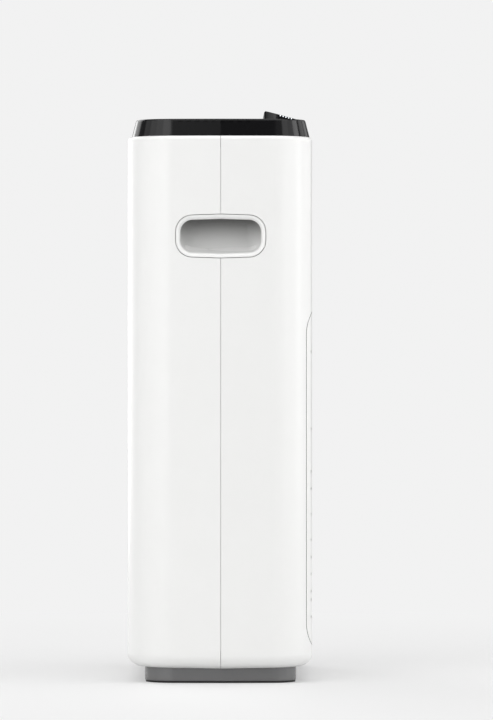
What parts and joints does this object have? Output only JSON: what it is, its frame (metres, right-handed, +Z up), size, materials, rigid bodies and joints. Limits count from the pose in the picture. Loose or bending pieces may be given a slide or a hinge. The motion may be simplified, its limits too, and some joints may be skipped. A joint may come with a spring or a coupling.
{
  "type": "air purifier",
  "caption": "Slim floor-standing air purifier: white half shells with side carry grips, perforated front cover, black slotted lid and sloping control pod, grey plinth.",
  "frame": {"origin": "centre of the bounding box on the floor", "axes": "+Z up, front faces -Y, the user's left of the front view is -X"},
  "size_m": [0.4, 0.227, 0.7036],
  "materials": {
    "white_gloss": "polished white moulding",
    "black_gloss": "piano black moulding",
    "smoked_lens": "smoked window",
    "lamp_white": "milky light guides",
    "grey_plinth": "satin grey moulding",
    "black_rubber": "matt",
    "dark_plastic": "fine texture",
    "light_plastic": "natural moulding",
    "mesh_nylon": "fine knitted net",
    "filter_board": "fibre board",
    "filter_paper": "pleated fleece",
    "carbon_felt": "felt with carbon grains",
    "grey_foam": "foam seal",
    "blue_ribbon": "woven ribbon",
    "zinc_steel": "zinc plated",
    "ground_steel": "ground",
    "brass_pins": "plated",
    "magnet_grey": "sintered",
    "copper_winding": "enamelled copper",
    "board_green": "solder mask",
    "parts_mixed": "moulded electronic parts",
    "wire_grey": "sleeved wires"
  },
  "bodies": {
    "housing": {"front_shell": "white_gloss", "rear_shell": "white_gloss", "catch_plates": "zinc_steel", "reed_switch": "dark_plastic", "left_grip": "white_gloss", "right_grip": "white_gloss", "lid": "black_gloss", "outlet_screen": "dark_plastic", "outlet_duct": "light_plastic", "control_pod": "black_gloss", "display_lens": "smoked_lens", "display_module": "parts_mixed", "control_board": "board_green", "key_switches": "parts_mixed", "side_lights": "lamp_white", "plinth": "grey_plinth", "foot_ring": "black_rubber", "plinth_screws": "zinc_steel", "shell_screws": "zinc_steel", "chassis": "light_plastic", "scroll_front": "light_plastic", "scroll_case": "light_plastic", "scroll_screws": "zinc_steel", "motor_stator": "copper_winding", "motor_case": "ground_steel", "motor_bearings": "ground_steel", "motor_mounts": "black_rubber", "motor_screws": "zinc_steel", "power_inlet": "dark_plastic", "inlet_pins": "brass_pins", "power_box": "dark_plastic", "power_board": "board_green", "power_parts": "parts_mixed", "wiring_loom": "wire_grey", "dust_sensor": "dark_plastic", "sensor_pin": "zinc_steel"},
    "front_cover_body": {"front_cover": "white_gloss", "cover_magnets": "zinc_steel"},
    "filter_body": {"prefilter_frame": "dark_plastic", "prefilter_mesh": "mesh_nylon", "filter_frame": "filter_board", "filter_pleats": "filter_paper", "carbon_sheet": "carbon_felt", "filter_gasket": "grey_foam", "filter_tabs": "blue_ribbon"},
    "fan_body": {"impeller": "light_plastic", "shaft_nut": "zinc_steel", "motor_shaft": "ground_steel", "motor_rotor": "magnet_grey"},
    "sensor_door_body": {"sensor_door": "white_gloss"},
    "key_lock_body": {"key_lock": "black_gloss"},
    "key_timer_body": {"key_timer": "black_gloss"},
    "key_light_body": {"key_light": "black_gloss"},
    "key_mode_body": {"key_mode": "black_gloss"},
    "key_speed_body": {"key_speed": "black_gloss"},
    "key_power_body": {"key_power": "black_gloss"}
  },
  "joints": [
    {"name": "cover_slide", "type": "slide", "parent": "housing", "child": "front_cover_body", "axis": [0, -1, 0], "range_m": [0, 0.24]},
    {"name": "filter_slide", "type": "slide", "parent": "housing", "child": "filter_body", "axis": [0, -1, 0], "range_m": [0, 0.12]},
    {"name": "fan_spin", "type": "hinge", "parent": "housing", "child": "fan_body", "pos_m": [0, 0, 0.24995], "axis": [0, 1, 0], "continuous": true},
    {"name": "sensor_door_hinge", "type": "hinge", "parent": "housing", "child": "sensor_door_body", "pos_m": [0.1, 0.1105, 0.5366], "axis": [1, 0, 0], "range_deg": [0, 90]},
    {"name": "key_lock_press", "type": "slide", "parent": "housing", "child": "key_lock_body", "axis": [0, 0.2656, -0.9641], "range_m": [0, 0.0012], "stiffness_N_per_m": 800, "springref_m": -0.0006},
    {"name": "key_timer_press", "type": "slide", "parent": "housing", "child": "key_timer_body", "axis": [0, 0.2656, -0.9641], "range_m": [0, 0.0012], "stiffness_N_per_m": 800, "springref_m": -0.0006},
    {"name": "key_light_press", "type": "slide", "parent": "housing", "child": "key_light_body", "axis": [0, 0.2656, -0.9641], "range_m": [0, 0.0012], "stiffness_N_per_m": 800, "springref_m": -0.0006},
    {"name": "key_mode_press", "type": "slide", "parent": "housing", "child": "key_mode_body", "axis": [0, 0.2656, -0.9641], "range_m": [0, 0.0012], "stiffness_N_per_m": 800, "springref_m": -0.0006},
    {"name": "key_speed_press", "type": "slide", "parent": "housing", "child": "key_speed_body", "axis": [0, 0.2656, -0.9641], "range_m": [0, 0.0012], "stiffness_N_per_m": 800, "springref_m": -0.0006},
    {"name": "key_power_press", "type": "slide", "parent": "housing", "child": "key_power_body", "axis": [0, 0.2656, -0.9641], "range_m": [0, 0.0012], "stiffness_N_per_m": 800, "springref_m": -0.0006}
  ],
  "couplings": [
    {"joint": "filter_slide", "follows": "cover_slide", "ratio": 0.5}
  ]
}
